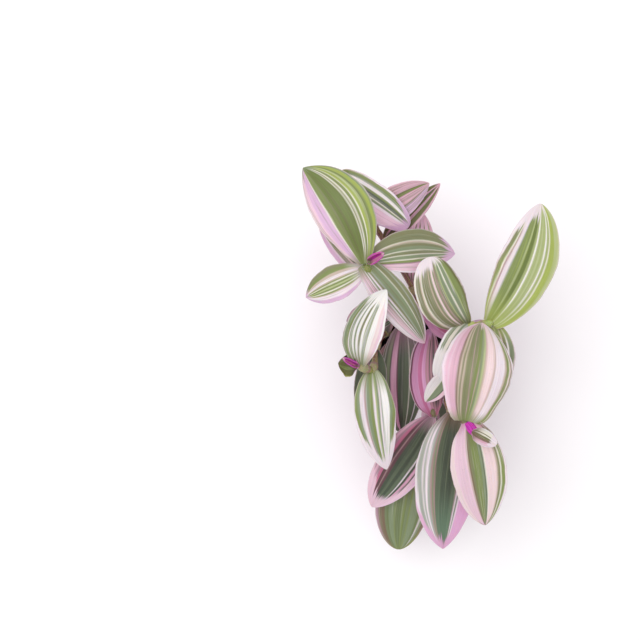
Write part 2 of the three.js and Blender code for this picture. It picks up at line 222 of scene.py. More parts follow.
LEAVES["back_left"] = dict(
    broad=dict(
        base=(-50, 58, 121), tip=(-92, 126, 112), width=42, rise=(14, 12), sway=7, cup=-15, widest=0.5,
        spread=0.1,
        stripes="""pale .02 pink .1 lilac .25 cream .27 leaf .35 moss .38 grass .44 olive .47 grass .61
        cream .63 moss .66 cream .69 leaf .74 cream .755 lime .81 spring .85 leaf .9 lime .96 sage 1""",
        ground=("olive", 0.2), lit=0.1, end=("sage", 0.96), foot=("leaf", 0.15)),
    right=dict(
        base=(-48, 59, 119), tip=(18, 67, 92), width=31, rise=(6, 4), sway=-5, cup=-5, widest=0.5,
        spread=0.15,
        stripes="""moss .26 cream .28 tan .33 moss .4 sage .48 cream .5 moss .58 cream .6 sage .68 cream .7
        leaf .76 mauve .79 pink .95 pale 1""",
        ground=("sage", 0.2), lit=0.25, end=("lilac", 0.88), horns=0.1, foot=("olive", 0.15)),
    front=dict(
        base=(-50, 58, 120), tip=(-4, 2, 92), width=25, rise=(10, 10), sway=-1, cup=-8, root=0.1, spread=0.4,
        stripes="""pale .02 moss .11 mist .14 moss .24 cream .27 sage .36 moss .4 sage .46 mist .5 moss .55
        pale .6 sage .64 pale .68 greyed .71 pink .86 pale 1""",
        ground=("sage", 0.22), end=("pink", 0.92), horns=0.1, foot=("leaf", 0.15)),
    left=dict(
        base=(-48, 55, 117), tip=(-90, 35, 106), width=25, rise=(8, 8), cup=-10, widest=0.5,
        stripes="""lilac .12 pale .24 tan .27 leaf .31 cream .35 leaf .4 spring .44 leaf .5 cream .54
        leaf .58 tan .62 pale .7 tan .78 leaf .9 moss 1""",
        ground=("leaf", 0.15), lit=0.3, end=("lilac", 0.93), foot=("white", 0.3)),
    low_1=dict(
        base=(-39, 46, 109), tip=(-81, 89, 100), width=22, rise=(5, 5),
        stripes="lilac .14 pale .2 leaf .3 cream .36 sage .5 cream .55 pink .8 lilac 1",
        ground=("pale", 0.2), end=("pink", 0.88), foot=("pale", 0.2)),
    low_2=dict(
        base=(-24, 26, 80), tip=(-60, 18, 66), width=23, rise=(6, 6),
        stripes="deep .2 mauve .26 deep .5 pink .58 deep .8 mauve 1",
        end=("mauve", 0.9)),
    low_3=dict(
        base=(-17, 17, 67), tip=(-17, -68, 56), width=33, rise=(7, 8), sway=2, widest=0.5, point=0.7,
        stripes="""deep .12 pale .14 deep .3 cream .32 deep .45 dark .58 plum .61 rosy .74 dark .77 sage .85
        deep .9 mist .93 deep 1""",
        lit=0.15, end=("deep", 0.95), foot=("mauve", 0.35)),
)
LEAVES["short"] = dict(
    upper=dict(
        base=(-21, 4, 63), tip=(-37, -34, 60), width=19, rise=(4, 5),
        stripes="deep .2 greyed .24 dark .4 mauve .46 deep .6 greyed .64 dark .85 greyed 1",
        ground=("deep", 0.2), end=("mauve", 0.93), foot=("plum", 0.3)),
    lower=dict(
        base=(-20, 2, 61), tip=(-18, -50, 60), width=24, rise=(6, 8), cup=-10,
        stripes="deep .35 greyed .47 deep .7 sage .74 deep 1",
        ground=("deep", 0.2), end=("deep", 0.95)),
)
LEAVES["back"] = dict(
    outer=dict(
        base=(-67, 121, 97), tip=(-16, 86, 97), width=27, rise=(8, 8), cup=-12, point=0.45, spread=0.1,
        stripes="""pale .05 leaf .14 sage .2 white .29 leaf .35 deep .45 cream .48 sage .54 pale .62 pink .95
        pale 1""",
        ground=("pale", 0.15), end=("lilac", 0.9), horns=0.3, foot=("leaf", 0.15)),
    right=dict(
        base=(-44, 92, 90), tip=(-1, 118, 95), width=25, rise=(5, 5), cup=-8,
        stripes="dusty .3 olive .36 leaf .42 rosy .45 dusty .7 olive .73 lilac 1",
        ground=("olive", 0.25), end=("dusty", 0.95), foot=("lilac", 0.2)),
    dark=dict(
        base=(-33, 77, 85), tip=(8, 119, 87), width=17, rise=(5, 5), cup=20,
        stripes="olive .28 dusty .38 dark .46 olive .58 dusty .7 olive .9 dusty 1",
        ground=("dark", 0.15), end=("rosy", 0.93), foot=("olive", 0.2)),
    low=dict(
        base=(-11, 43, 72), tip=(-5, 100, 76), width=24, rise=(5, 5), widest=0.55,
        stripes="""dusty .15 leaf .2 pink .34 olive .38 pink .5 leaf .55 pink .68 olive .72 pink .86 leaf .9
        dusty 1""",
        ground=("olive", 0.15), end=("pink", 0.85)),
)

# Furls: young leaves that are still rolled, each a blade bent nearly into a tube that is open along its top.
FURL = dict(
    USUAL, rise=(0.6, 0.6), cup=125, widest=0.4, root=0.25, point=0.7, wave=0.15,
    stripes="hot .3 magenta .5 hot 1", ground=("olive", 0.1), end=("blush", 0.85), foot=("olive", 0.3),
)
FURL_WIDTH = 4.6  # of the unrolled blade, in radii of the furl
FURL_MAGENTA = 1.2  # how far along it the outside is magenta: past its tip
FURLS = {
    "front_right": dict(FURL, base=(22, -52, 119), tip=(29, -60.5, 120), width=4.2 * FURL_WIDTH, roll=180),
    "left": dict(
        FURL, base=(-53, -14, 101), tip=(-64, -8, 104), width=2 * FURL_WIDTH,
        stripes="magenta .3 rose .5 magenta 1",
    ),
    "back_left": dict(FURL, base=(-45.5, 59.5, 122), tip=(-36, 65, 128.5), width=2.8 * FURL_WIDTH),
}


# -------- small vector helpers
def unit(vectors):
    """Vectors scaled to length 1, along the last axis."""
    vectors = np.asarray(vectors, float)
    return vectors / np.linalg.norm(vectors, axis=-1, keepdims=True)


def linear(name):
    """A named colour as linear light, with alpha."""
    code = COLOURS.get(name, name).lstrip("#")
    parts = [int(code[i:i + 2], 16) / 255 for i in (0, 2, 4)]
    return [c / 12.92 if c <= 0.04045 else ((c + 0.055) / 1.055) ** 2.4 for c in parts] + [1.0]


def linked(name, data):
    """A new object in the scene."""
    obj = bpy.data.objects.new(name, data)
    bpy.context.scene.collection.objects.link(obj)
    return obj


def whole_turn(count):
    """Angles evenly spaced round a full turn."""
    return np.linspace(0, 2 * pi, count, endpoint=False)


# -------- shapes
class Shape:
    """Points and faces of one piece, in millimetres, with a UV pair for each face corner."""

    def __init__(self):
        self.points, self.faces, self.uvs, self.slots = [], [], [], []
        self.count = 0

    def add_points(self, points):
        first = self.count
        self.points.append(np.reshape(points, (-1, 3)))
        self.count += len(self.points[-1])
        return first

    def add_face(self, corners, uvs=None, slot=0):
        self.faces.append(tuple(corners))
        self.uvs.extend(uvs or [(0.5, 0.5)] * len(corners))
        self.slots.append(slot)

    def grid(self, points, u, v, slot=0, around=False, flip=False):
        """A sheet of rows by columns of points; around joins its last column to its first."""
        rows, columns = points.shape[:2]
        first = self.add_points(points)
        for r in range(rows - 1):
            for c in range(columns if around else columns - 1):
                d = (c + 1) % columns
                corners = [(r, c, c), (r, d, c + 1), (r + 1, d, c + 1), (r + 1, c, c)]
                if flip:
                    corners.reverse()
                ids = [first + row * columns + column for row, column, _ in corners]
                self.add_face(ids, [(u[k], v[row]) for row, _, k in corners], slot)
        return first

    def fans(self, first, rows, around, low, high):
        """Closes a sheet that goes round by a fan of faces to a point at each end."""
        last = first + (rows - 1) * around
        low, high = (self.add_points([point]) for point in (low, high))
        for c in range(around):
            d = (c + 1) % around
            self.add_face((low, first + d, first + c))
            self.add_face((last + c, last + d, high))

    def piece(self, name, materials, sharp=50):
        """The shape as an object in metres, smooth but for edges sharper than the given angle."""
        mesh = bpy.data.meshes.new(name)
        mesh.from_pydata((np.vstack(self.points) * MM).tolist(), [], self.faces)
        layer = mesh.uv_layers.new(name="Growth")
        layer.data.foreach_set("uv", np.array(self.uvs, np.float32).ravel())
        mesh.polygons.foreach_set("material_index", self.slots)
        mesh.polygons.foreach_set("use_smooth", [True] * len(self.faces))
        mesh.set_sharp_from_angle(angle=radians(sharp))
        for material in materials:
            mesh.materials.append(material)
        mesh.validate()
        return linked(name, mesh)


def centripetal(points, spacing):
    """Evenly spaced points of the centripetal Catmull-Rom curve through the given ones."""
    p = np.array(points, float)
    p = np.vstack([2 * p[0] - p[1], p, 2 * p[-1] - p[-2]])
    t = np.linspace(0, 1, 40, endpoint=False)[:, None]
    fine = []
    for a, b, c, d in zip(p, p[1:], p[2:], p[3:]):
        ta, tb, tc = (np.linalg.norm(s) ** 0.5 for s in (b - a, c - b, d - c))
        m1 = ((b - a) / ta - (c - a) / (ta + tb) + (c - b) / tb) * tb
        m2 = ((c - b) / tb - (d - b) / (tb + tc) + (d - c) / tc) * tb
        fine.append(b + m1 * t + (3 * (c - b) - 2 * m1 - m2) * t**2 + (2 * (b - c) + m1 + m2) * t**3)
    fine = np.vstack([*fine, p[-2:-1]])
    reach = np.concatenate([[0], np.cumsum(np.linalg.norm(np.diff(fine, axis=0), axis=1))])
    even = np.linspace(0, reach[-1], ceil(reach[-1] / spacing) + 1)
    return np.stack([np.interp(even, reach, fine[:, k]) for k in range(3)], axis=1), even


def section_frames(path):
    """Two directions across a path at each of its points, turning as little as they can."""
    along = unit(np.gradient(path, axis=0))
    first = unit(np.cross(along[0], (0.3, 1, 0.1)))
    sides = [first]
    for direction in along[1:]:
        sides.append(unit(sides[-1] - direction * (sides[-1] @ direction)))
    sides = np.array(sides)
    return sides, np.cross(along, sides)


def tube(shape, path, radii, around=TUBE_SIDES, slot=0, v=None, wobble=0.0):
    """A round tube along a path, closed at both ends. radii: one for each point of the path."""
    one, two = section_frames(path)
    angle = whole_turn(around)
    ring = np.cos(angle)[None, :, None] * one[:, None] + np.sin(angle)[None, :, None] * two[:, None]
    swollen = np.asarray(radii, float)[:, None] * (1 + np.zeros(around) + wobble)
    points = path[:, None] + ring * swollen[..., None]
    u = np.linspace(0, 1, around + 1)
    v = np.linspace(0, 1, len(path)) if v is None else v
    first = shape.grid(points, u, v, slot, around=True)
    last = first + (len(path) - 1) * around
    shape.add_face(range(first + around - 1, first - 1, -1), slot=slot)
    shape.add_face(range(last, last + around), slot=slot)


def turned(shape, profile, around):
    """A profile of (radius, height) pairs, from the axis and back to it, turned about +Z."""
    angle = whole_turn(around)
    ring = np.stack([np.cos(angle), np.sin(angle)], axis=1)
    inner = np.array(profile[1:-1], float)
    points = np.concatenate(
        [ring[None] * inner[:, None, :1], np.repeat(inner[:, None, 1:], around, axis=1)], axis=2
    )
    first = shape.grid(points, np.linspace(0, 1, around + 1), np.linspace(0, 1, len(inner)), around=True)
    shape.fans(first, len(inner), around, (0, 0, profile[0][1]), (0, 0, profile[-1][1]))


# -------- leaves
def outline(v, widest, root, point):
    """Half-width of a blade at v along its length, as a share of its greatest half-width."""
    swell = point * (widest + root) / (1 - widest)
    return ((1 - v) / (1 - widest)) ** point * ((v + root) / (widest + root)) ** swell


def midrib(leaf, v):
    """Points of a leaf's midrib, with the directions to its right and up."""
    a, d = np.array(leaf["base"], float), np.array(leaf["tip"], float)
    line = d - a
    ahead = unit(line)
    level = unit(np.cross(ahead, (0, 0, 1)))
    roll = radians(leaf["roll"])
    right = cos(roll) * level + sin(roll) * np.cross(ahead, level)
    up = np.cross(right, ahead)
    bow = right * leaf["sway"] * 1.33
    b = a + line * 0.33 + up * leaf["rise"][0] + bow
    c = a + line * 0.67 + up * leaf["rise"][1] + bow
    t = v[:, None]
    s = 1 - t
    points = s**3 * a + 3 * s * s * t * b + 3 * s * t * t * c + t**3 * d
    along = unit(s * s * (b - a) + 2 * s * t * (c - b) + t * t * (d - c))
    right = unit(right - along * (along @ right)[:, None])
    return points, right, np.cross(right, along)


def blade_points(leaf, u, v, off, stretch=1.0):
    """Points of a blade: u is -1 to 1 across it, v 0 to 1 along it, off their height over its middle."""
    points, right, up = midrib(leaf, v)
    shape = outline(v, leaf["widest"], leaf["root"], leaf["point"])
    half = 0.5 * leaf["width"] * shape[:, None]
    wrap = WRAP["angle"] * np.exp(-((v / WRAP["reach"]) ** 2))
    bend = np.radians(leaf["cup"] + wrap)[:, None] + 1e-4
    angle = bend * u[None]
    across = half * stretch * np.sin(angle) / bend - off * np.sin(angle)
    fold = 0.1 * half * (np.sqrt(u * u + 0.02) - sqrt(0.02))
    lift = half * (1 - np.cos(angle)) / bend + fold + off * np.cos(angle)
    return points[:, None] + right[:, None] * across[..., None] + up[:, None] * lift[..., None]


def surface_play(leaf, number, u, v):
    """How far a real blade strays from the plain one: ridges over veins, soft swells and a wavy margin."""
    rng = random.Random(number)
    ridges = leaf["width"] / 3.2
    phase = rng.uniform(0, 2 * pi)
    fade = (1 - np.abs(u) ** 4)[None] * np.sin(pi * np.clip(v, 0, 1))[:, None] ** 0.5
    ridge = 0.09 * np.sin(pi * ridges * u + phase)[None]
    drift = 1.2 * np.sin(2 * pi * (0.7 * v + rng.random()))[:, None]
    swell = 0.007 * leaf["width"] * np.sin(pi * leaf["width"] / 13 * u[None] + drift + 2 * phase)
    waves = sum(
        np.sin(2 * pi * (turns * v + rng.random()))[:, None]
        * np.where(u < 0, cos(3 * turns), sin(3 * turns))[None] / turns**0.5
        for turns in (1.3, 2.1, 3.4)
    )
    margin = leaf["wave"] * np.abs(u)[None] ** 3 * np.sin(pi * v)[:, None] * waves
    return (ridge + swell) * fade + margin


def margin_play(number, u, v):
    """The width of a real blade as a share of the plain one's, a little uneven along each margin."""
    rng = random.Random(number + 500)
    stretch = np.ones((len(v), len(u)))
    for side in (u < 0, u > 0):
        uneven = sum(
            size * np.sin(2 * pi * (turns * v + rng.random()))
            for turns, size in ((1.7, 0.012), (3.3, 0.01), (7.1, 0.005), (13, 0.003))
        )
        stretch += np.where(side, np.abs(u) ** 2, 0)[None] * (uneven * np.sin(pi * v))[:, None]
    return stretch


def blade(leaf, number):
    """A leaf's blade, thick at its midrib and thin at its margin. Slot 0 is its face and slot 1 its back."""
    shape = Shape()
    columns, rows = BLADE["columns"], BLADE["rows"]
    row = columns + 1
    u = np.linspace(-1, 1, row)
    t = np.linspace(0, 1, rows + 1)
    v = BLADE["end"] * (0.6 * t + 0.4 * 0.5 * (1 - np.cos(pi * t)))
    play = surface_play(leaf, number, u, v)
    stretch = margin_play(number, u, v)
    thick = BLADE["edge"] + (BLADE["middle"] - BLADE["edge"]) * (1 - np.abs(u) ** 5)
    thick = thick[None] * (0.45 + 0.55 * np.clip((1 - v) / 0.12, 0, 1))[:, None]
    keel = 0.5 * np.exp(-((u / 0.045) ** 2))[None] * np.clip(1 - v, 0, 1)[:, None]
    share = (u + 1) / 2
    top = blade_points(leaf, u, v, play + thick / 2, stretch)
    under = blade_points(leaf, u, v, play - thick / 2 - keel, stretch)
    first = shape.grid(top, share, v, slot=0)
    second = shape.grid(under, share + 1.37 * number, v, slot=1, flip=True)
    rim = list(range(columns)) + [r * row + columns for r in range(rows)]
    rim += [rows * row + c for c in range(columns, 0, -1)] + [r * row for r in range(rows, 0, -1)]
    for a, b in zip(rim, rim[1:] + rim[:1]):
        uv = [(share[k % row], v[k // row]) for k in (b, a, a, b)]
        shape.add_face((first + b, first + a, second + a, second + b), uv, slot=0)
    return shape


def stem_path(points):
    (x, y), *rest = points
    return centripetal([(x, y, STEM_FOOT), (x, y, SOIL_TOP - 4), (x, y, SOIL_TOP + 3), *rest], STEM_STEP)


def sheath_ends(path, reach, base):
    """Where along its stem a leaf's sheath begins and ends."""
    nearest = reach[np.argmin(np.linalg.norm(path - np.array(base, float), axis=1))]
    end = min(nearest + SHEATH["lap"], reach[-1])
    return max(end - SHEATH["length"], SOIL_TOP + 2 - STEM_FOOT), end


def hair(shape, root, direction, length, slot):
    """One tapered hair of three sides."""
    side = unit(np.cross(direction, (0.21, 0.43, 0.88)))
    other = np.cross(direction, side)
    angles = [0, 2 * pi / 3, 4 * pi / 3]
    ring = [root + SHEATH["hair_radius"] * (cos(a) * side + sin(a) * other) for a in angles]
    first = shape.add_points([*ring, root + direction * length])
    for k in range(3):
        shape.add_face((first + k, first + (k + 1) % 3, first + 3), slot=slot)
    shape.add_face((first + 2, first + 1, first), slot=slot)


def stem_shape(side, seed):
    """A fleshy stem with a joint under every leaf, the leaves' sheaths round it, and their hairs.

    Slot 0 is the stem, 1 the sheaths and 2 the hairs.
    """
    rng = random.Random(seed)
    shape = Shape()
    path, reach = stem_path(PATHS[side])
    spans = [sheath_ends(path, reach, leaf["base"]) for leaf in LEAVES[side].values()]
    radii = np.full(len(path), STEM_RADIUS * 0.94)
    for start, _ in spans:
        radii += 0.4 * np.exp(-(((reach - start) / 1.6) ** 2))
    radii = np.minimum(radii, STEM_RADIUS + 0.5)
    radii *= np.clip((reach[-1] + 0.8 - reach) / 3.2, 0, 1) ** 0.5
    angle = whole_turn(TUBE_SIDES)
    wobble = 0.012 * np.sin(9 * angle[None] + 0.05 * reach[:, None])
    tube(shape, path, radii, v=reach / reach[-1], wobble=wobble)
    for start, end in spans:
        share = np.linspace(0, 1, 9)
        at = start + (end - start) * share
        centre = np.stack([np.interp(at, reach, path[:, k]) for k in range(3)], axis=1)
        swell = np.sin(pi * (0.2 + 0.62 * share))
        bulge = STEM_RADIUS + 0.15 + (SHEATH["radius"] - STEM_RADIUS) * swell
        bulge *= np.clip((reach[-1] + 0.8 - at) / 3.0, 0, 1) ** 0.5
        tube(shape, centre, bulge, slot=1, v=share)
        one, two = section_frames(centre)
        ahead = unit(centre[-1] - centre[0])
        for _ in range(SHEATH["hairs"]):
            k = rng.choice([3, 5, 6, 7, 7, 8, 8, 8])
            a = rng.uniform(0, 2 * pi)
            out = cos(a) * one[k] + sin(a) * two[k]
            lean = unit(out + ahead * rng.uniform(0.3, 1.2))
            length = SHEATH["hair_length"] * rng.uniform(0.5, 1.1)
            hair(shape, centre[k] + out * (bulge[k] - 0.05), lean, length, 2)
    return shape


# -------- materials
class Nodes:
    """A material's node tree, with a short call for each kind of node."""

    def __init__(self, name):
        self.material = bpy.data.materials.new(name)
        self.material.use_nodes = True
        self.tree = self.material.node_tree
        self.shader = self.tree.nodes["Principled BSDF"]

    def node(self, kind, inputs=(), **settings):
        made = self.tree.nodes.new(kind)
        for key, value in settings.items():
            setattr(made, key, value)
        for key, value in dict(inputs).items():
            self.put(value, made.inputs[key])
        return made

    def put(self, value, socket):
        """Links a socket to another, or gives it a number, a vector or a named colour."""
        if isinstance(value, bpy.types.NodeSocket):
            self.tree.links.new(value, socket)
        else:
            socket.default_value = linear(value) if isinstance(value, str) else value

    def math(self, operation, *values):
        return self.node("ShaderNodeMath", dict(enumerate(values)), operation=operation).outputs[0]

    def times(self, one, two):
        return self.math("MULTIPLY", one, two)

    def vector(self, x, y, z=0.0):
        return self.node("ShaderNodeCombineXYZ", {0: x, 1: y, 2: z}).outputs[0]

    def noise(self, place, scale=1.0, detail=2.0, roughness=0.5):
        """Noise from 0 to 1, 0.5 on average."""
        inputs = {"Vector": place, "Scale": scale, "Detail": detail, "Roughness": roughness}
        return self.node("ShaderNodeTexNoise", inputs).outputs[0]

    def drawn_out(self, uv, across, along, shift=0.0, **settings):
        """Noise drawn out along a piece: so many features across it and so many along it."""
        u, v = uv
        return self.noise(self.vector(self.times(u, across), self.times(v, along), shift), **settings)

    def around_zero(self, value, size):
        """A 0 to 1 value moved to vary about 0 by half of size each way."""
        return self.times(self.math("SUBTRACT", value, 0.5), size)

    def span(self, value, low, high, to_low=0.0, to_high=1.0):
        """value from low to high, eased, as to_low to to_high."""
        inputs = {"Value": value, "From Min": low, "From Max": high, "To Min": to_low, "To Max": to_high}
        return self.node("ShaderNodeMapRange", inputs, interpolation_type="SMOOTHSTEP").outputs[0]

    def mix(self, share, one, two, blend="MIX"):
        """Two colours mixed. 0, 6, 7 and 2 are the sockets for share, colours and result."""
        inputs = {0: share, 6: one, 7: two}
        return self.node("ShaderNodeMix", inputs, data_type="RGBA", blend_type=blend).outputs[2]

    def shaded(self, colour, shade):
        """A colour multiplied by a number."""
        return self.mix(1.0, colour, self.vector(shade, shade, shade), "MULTIPLY")

    def ramp(self, share, stops):
        """A colour ramp with (place, colour) stops."""
        made = self.node("ShaderNodeValToRGB", {"Fac": share})
        elements = made.color_ramp.elements
        for place, colour in stops[1:-1]:
            elements.new(place).color = linear(colour)
        for element, (place, colour) in zip((elements[0], elements[-1]), (stops[0], stops[-1])):
            element.position, element.color = place, linear(colour)
        return made.outputs[0]

    def bump(self, height, distance, strength=1.0):
        inputs = {"Height": height, "Distance": distance, "Strength": strength}
        return self.node("ShaderNodeBump", inputs).outputs[0]

    def uv(self):
        place = self.node("ShaderNodeUVMap", uv_map="Growth").outputs[0]
        parts = self.node("ShaderNodeSeparateXYZ", {0: place}).outputs
        return parts[0], parts[1]

    def place(self):
        return self.node("ShaderNodeTexCoord").outputs["Object"]

    def finish(self, **inputs):
        names = {
            "colour": "Base Color", "roughness": "Roughness", "normal": "Normal",
            "specular": "Specular IOR Level", "inner": "Subsurface Weight", "depth": "Subsurface Scale",
            "radius": "Subsurface Radius",
        }
        for key, value in inputs.items():
            self.put(value, self.shader.inputs[names[key]])
        return self.material


def stripe_stops(text):
    """Ramp stops for stripes given as colour and right edge, by turns. A fine line gets one stop only."""
    words = text.split()
    stops, left = [], 0.0
    for name, edge in zip(words[::2], words[1::2]):
        right = float(edge)
        soft = min(0.012, 0.3 * (right - left))
        fine = right - left < 0.031 and 0 < left and right < 1
        places = [(left + right) / 2] if fine else [left + soft, right - soft]
        stops += [(place, name) for place in places]
        left = right
    return stops


def leaf_material(name, leaf, number):
    """The striped face of a leaf. Stripes run from foot to tip, closing up with the outline."""
    n = Nodes(name)
    u, v = uv = n.uv()
    seed = 3.7 * number

    def along(across, lengthwise, shift, detail=2.0, roughness=0.5):
        return n.drawn_out(uv, across, lengthwise, seed + shift, detail=detail, roughness=roughness)

    wander = along(1.6, 1.3, 0)
    streak = along(42.0, 2.2, 0, 3.0)
    hairline = along(130.0, 3.0, 3, 2.0, 0.6)
    fibre = along(95.0, 1.4, 0, 1.0)
    off = n.math("ADD", n.around_zero(wander, 0.06), n.around_zero(streak, 0.03))
    off = n.math("ADD", off, n.around_zero(hairline, 0.02))
    centred = n.math("SUBTRACT", u, 0.5)
    spread = n.math("MULTIPLY_ADD", n.math("SUBTRACT", v, 0.5), leaf["spread"], 1.0)
    place = n.math("ADD", n.math("MULTIPLY_ADD", centred, spread, 0.5), off)
    colour = n.ramp(place, stripe_stops(leaf["stripes"]))

    ground, much = leaf["ground"]
    broken = along(34.0, 1.1, 5, 4.0, 0.62)
    colour = n.mix(n.span(broken, 0.66 - much, 0.8 - 0.5 * much, 0.0, 0.6), colour, ground)
    lit = along(26.0, 0.9, 8, 3.0, 0.6)
    colour = n.mix(n.span(lit, 0.62, 0.74, 0.0, leaf["lit"]), colour, "cream")

    tone = along(3.0, 4.0, 1, 3.0)
    foot, foot_reach = leaf["foot"]
    near_foot = n.math("ADD", v, n.around_zero(streak, 0.12))
    colour = n.mix(n.span(near_foot, 0.0, foot_reach, 0.75, 0.0), colour, foot)
    tip, tip_from = leaf["end"]
    near_tip = n.math("ADD", v, n.around_zero(along(19.0, 0.8, 2, 1.0), 0.3))
    near_tip = n.math("SUBTRACT", near_tip, n.times(centred, leaf["slant"]))
    margin = n.math("ABSOLUTE", n.times(centred, 2.0))
    horns = n.times(n.math("POWER", margin, 3.0), leaf["horns"])
    near_tip = n.math("ADD", near_tip, horns)
    colour = n.mix(n.span(near_tip, tip_from - 0.02, tip_from + 0.05, 0.0, 0.92), colour, tip)
    colour = n.mix(n.span(margin, 0.95, 0.97, 0.0, 0.35), colour, "pale")
    colour = n.mix(n.span(margin, 0.98, 0.995, 0.0, 0.55), colour, "mauve")

    if leaf["far"]:
        far, far_share = leaf["far"]
        colour = n.mix(n.span(v, 0.45, 0.85, 0.0, far_share), colour, far, "LIGHTEN")

    dark = n.span(along(60.0, 90.0, 0), 0.66, 0.74, 0.0, leaf["specks"])
    colour = n.mix(dark, colour, "sage")

    vein = n.span(fibre, 0.3, 0.7)
    shade = n.math("ADD", n.math("MULTIPLY_ADD", vein, 0.11, 0.87), n.around_zero(tone, 0.1))
    colour = n.shaded(colour, shade)
    cells = n.noise(n.place(), scale=2600.0, detail=1.0)
    height = n.math("MULTIPLY_ADD", vein, 0.8, n.times(cells, 0.35))
    normal = n.bump(height, 0.00012, 0.6)
    rough = n.math("MULTIPLY_ADD", tone, 0.16, 0.36)
    return n.finish(colour=colour, roughness=rough, normal=normal, specular=0.45, inner=0.25, depth=0.0012,
                    radius=(1.0, 0.75, 0.45))


def back_material():
    """The backs of the leaves: rosy purple, drawn out in paler and greyer stripes."""
    n = Nodes("leaf_back")
    uv = n.uv()
    wide = n.drawn_out(uv, 9.0, 0.9)
    stops = [(0.3, "#8C5A7C"), (0.42, "#A97A94"), (0.5, "#D795BE"), (0.58, "#E6B4D2"), (0.7, "#9A8480")]
    fibre = n.drawn_out(uv, 80.0, 1.4, detail=1.0)
    colour = n.shaded(n.ramp(wide, stops), n.span(fibre, 0.3, 0.7, 0.88, 1.04))
    normal = n.bump(fibre, 0.0001, 0.5)
    rough = n.span(wide, 0.3, 0.7, 0.42, 0.55)
    return n.finish(colour=colour, roughness=rough, normal=normal, specular=0.4, inner=0.25, depth=0.0012,
                    radius=(1.0, 0.6, 0.8))


def stem_material():
    """A juicy stem: plum to olive, streaked along its length, with fine dots."""
    n = Nodes("stem_skin")
    u, v = n.uv()
    turn = n.times(u, 2 * pi)
    ring = n.vector(n.math("COSINE", turn), n.math("SINE", turn), n.times(v, 3.0))
    streak = n.noise(ring, scale=2.4, detail=4.0, roughness=0.6)
    stops = [(0.3, "#5A3038"), (0.45, "#7A4A50"), (0.55, "#8A7350"), (0.72, "#93A052")]
    colour = n.mix(n.span(v, 0.55, 1.0, 0.0, 0.7), n.ramp(streak, stops), "#9DAE52")
    dots = n.noise(n.place(), scale=1500.0, detail=1.0)
    colour = n.mix(n.span(dots, 0.58, 0.7, 0.0, 0.5), colour, "#C9B7A0")
    normal = n.bump(dots, 0.0001, 0.4)
    rough = n.span(streak, 0.3, 0.7, 0.34, 0.5)
    return n.finish(colour=colour, roughness=rough, normal=normal, inner=0.3, depth=0.0015)


def sheath_material(name, stops):
    """The thin, closed foot of a leaf round its stem, finely lined, plum where it begins."""
    n = Nodes(name)
    uv = n.uv()
    lines = n.drawn_out(uv, 60.0, 1.5)
    colour = n.mix(n.span(uv[1], 0.0, 0.5, 0.7, 0.0), n.ramp(lines, stops), "#84506A")
    normal = n.bump(lines, 0.00015, 0.5)
    rough = n.span(lines, 0.3, 0.7, 0.4, 0.55)
    return n.finish(colour=colour, roughness=rough, normal=normal, inner=0.25, depth=0.001)


def hair_material():
    n = Nodes("sheath_hair")
    tint = n.noise(n.place(), scale=900.0, detail=1.0)
    colour = n.mix(n.span(tint, 0.35, 0.65), "#F3EDE6", "#D9C6CF")
    return n.finish(colour=colour, roughness=0.5, inner=0.2, depth=0.0005)


def furl_material(name, reach):
    """The outside of a rolled young leaf: magenta as far as reach along it, then pale pink."""
    n = Nodes(name)
    uv = n.uv()
    lines = n.drawn_out(uv, 40.0, 1.2)
    colour = n.ramp(lines, [(0.3, "#A81690"), (0.5, "#C224AC"), (0.7, "#D65CBE")])
    colour = n.mix(n.span(uv[1], reach - 0.1, reach + 0.12, 0.0, 0.95), colour, "#E6CBD6")
    normal = n.bump(lines, 0.00012, 0.5)
    rough = n.span(lines, 0.3, 0.7, 0.36, 0.5)
    return n.finish(colour=colour, roughness=rough, normal=normal, inner=0.3, depth=0.001)


def pot_material():
    """Thin dark brown plastic: satin, with faint moulding rings, scuffs, and dust towards its foot."""
    n = Nodes("pot_plastic")
    place = n.place()
    x, y, z = n.node("ShaderNodeSeparateXYZ", {0: place}).outputs
    cloud = n.noise(place, scale=45.0, detail=4.0)
    colour = n.mix(n.span(cloud, 0.3, 0.7), "#1C0A09", "#33130F")
    lip = n.span(z, (POT["height"] - 5) * MM, POT["height"] * MM)
    colour = n.mix(n.times(lip, 0.6), colour, "#5A2420")
    upright = n.vector(n.times(x, 260.0), n.times(y, 260.0), n.times(z, 40.0))
    scuff = n.noise(upright, detail=5.0, roughness=0.7)
    colour = n.mix(n.span(scuff, 0.6, 0.75, 0.0, 0.22), colour, "#7A5A52")
    dust = n.times(n.span(z, 0.0, 0.02, 1.0, 0.0), n.span(scuff, 0.4, 0.65))
    colour = n.mix(n.times(dust, 0.35), colour, "#8C7A6C")
    rings = n.math("SINE", n.times(z, 2 * pi / 0.0011))
    fine = n.noise(place, scale=1400.0, detail=2.0)
    height = n.math("MULTIPLY_ADD", rings, 0.12, n.math("ADD", fine, n.times(scuff, 0.6)))
    normal = n.bump(height, 0.00006, 0.6)
    rough = n.math("ADD", n.span(scuff, 0.35, 0.75, 0.3, 0.5), n.times(dust, 0.3))
    return n.finish(colour=colour, roughness=rough, normal=normal, specular=0.5)


def soil_material(name, dark, light, scale):
    """Peat: dark, matt and mottled, with lighter fibres."""
    n = Nodes(name)
    place = n.place()
    grain = n.noise(place, scale=scale, detail=5.0, roughness=0.65)
    colour = n.mix(n.span(grain, 0.35, 0.7), dark, light)
    fibres = n.noise(place, scale=scale * 3.5, detail=2.0)
    colour = n.mix(n.span(fibres, 0.64, 0.72, 0.0, 0.6), colour, "#6A5444")
    normal = n.bump(n.math("ADD", grain, n.times(fibres, 0.5)), 0.0006, 0.8)
    rough = n.span(grain, 0.3, 0.7, 0.85, 1.0)
    return n.finish(colour=colour, roughness=rough, normal=normal, specular=0.25)


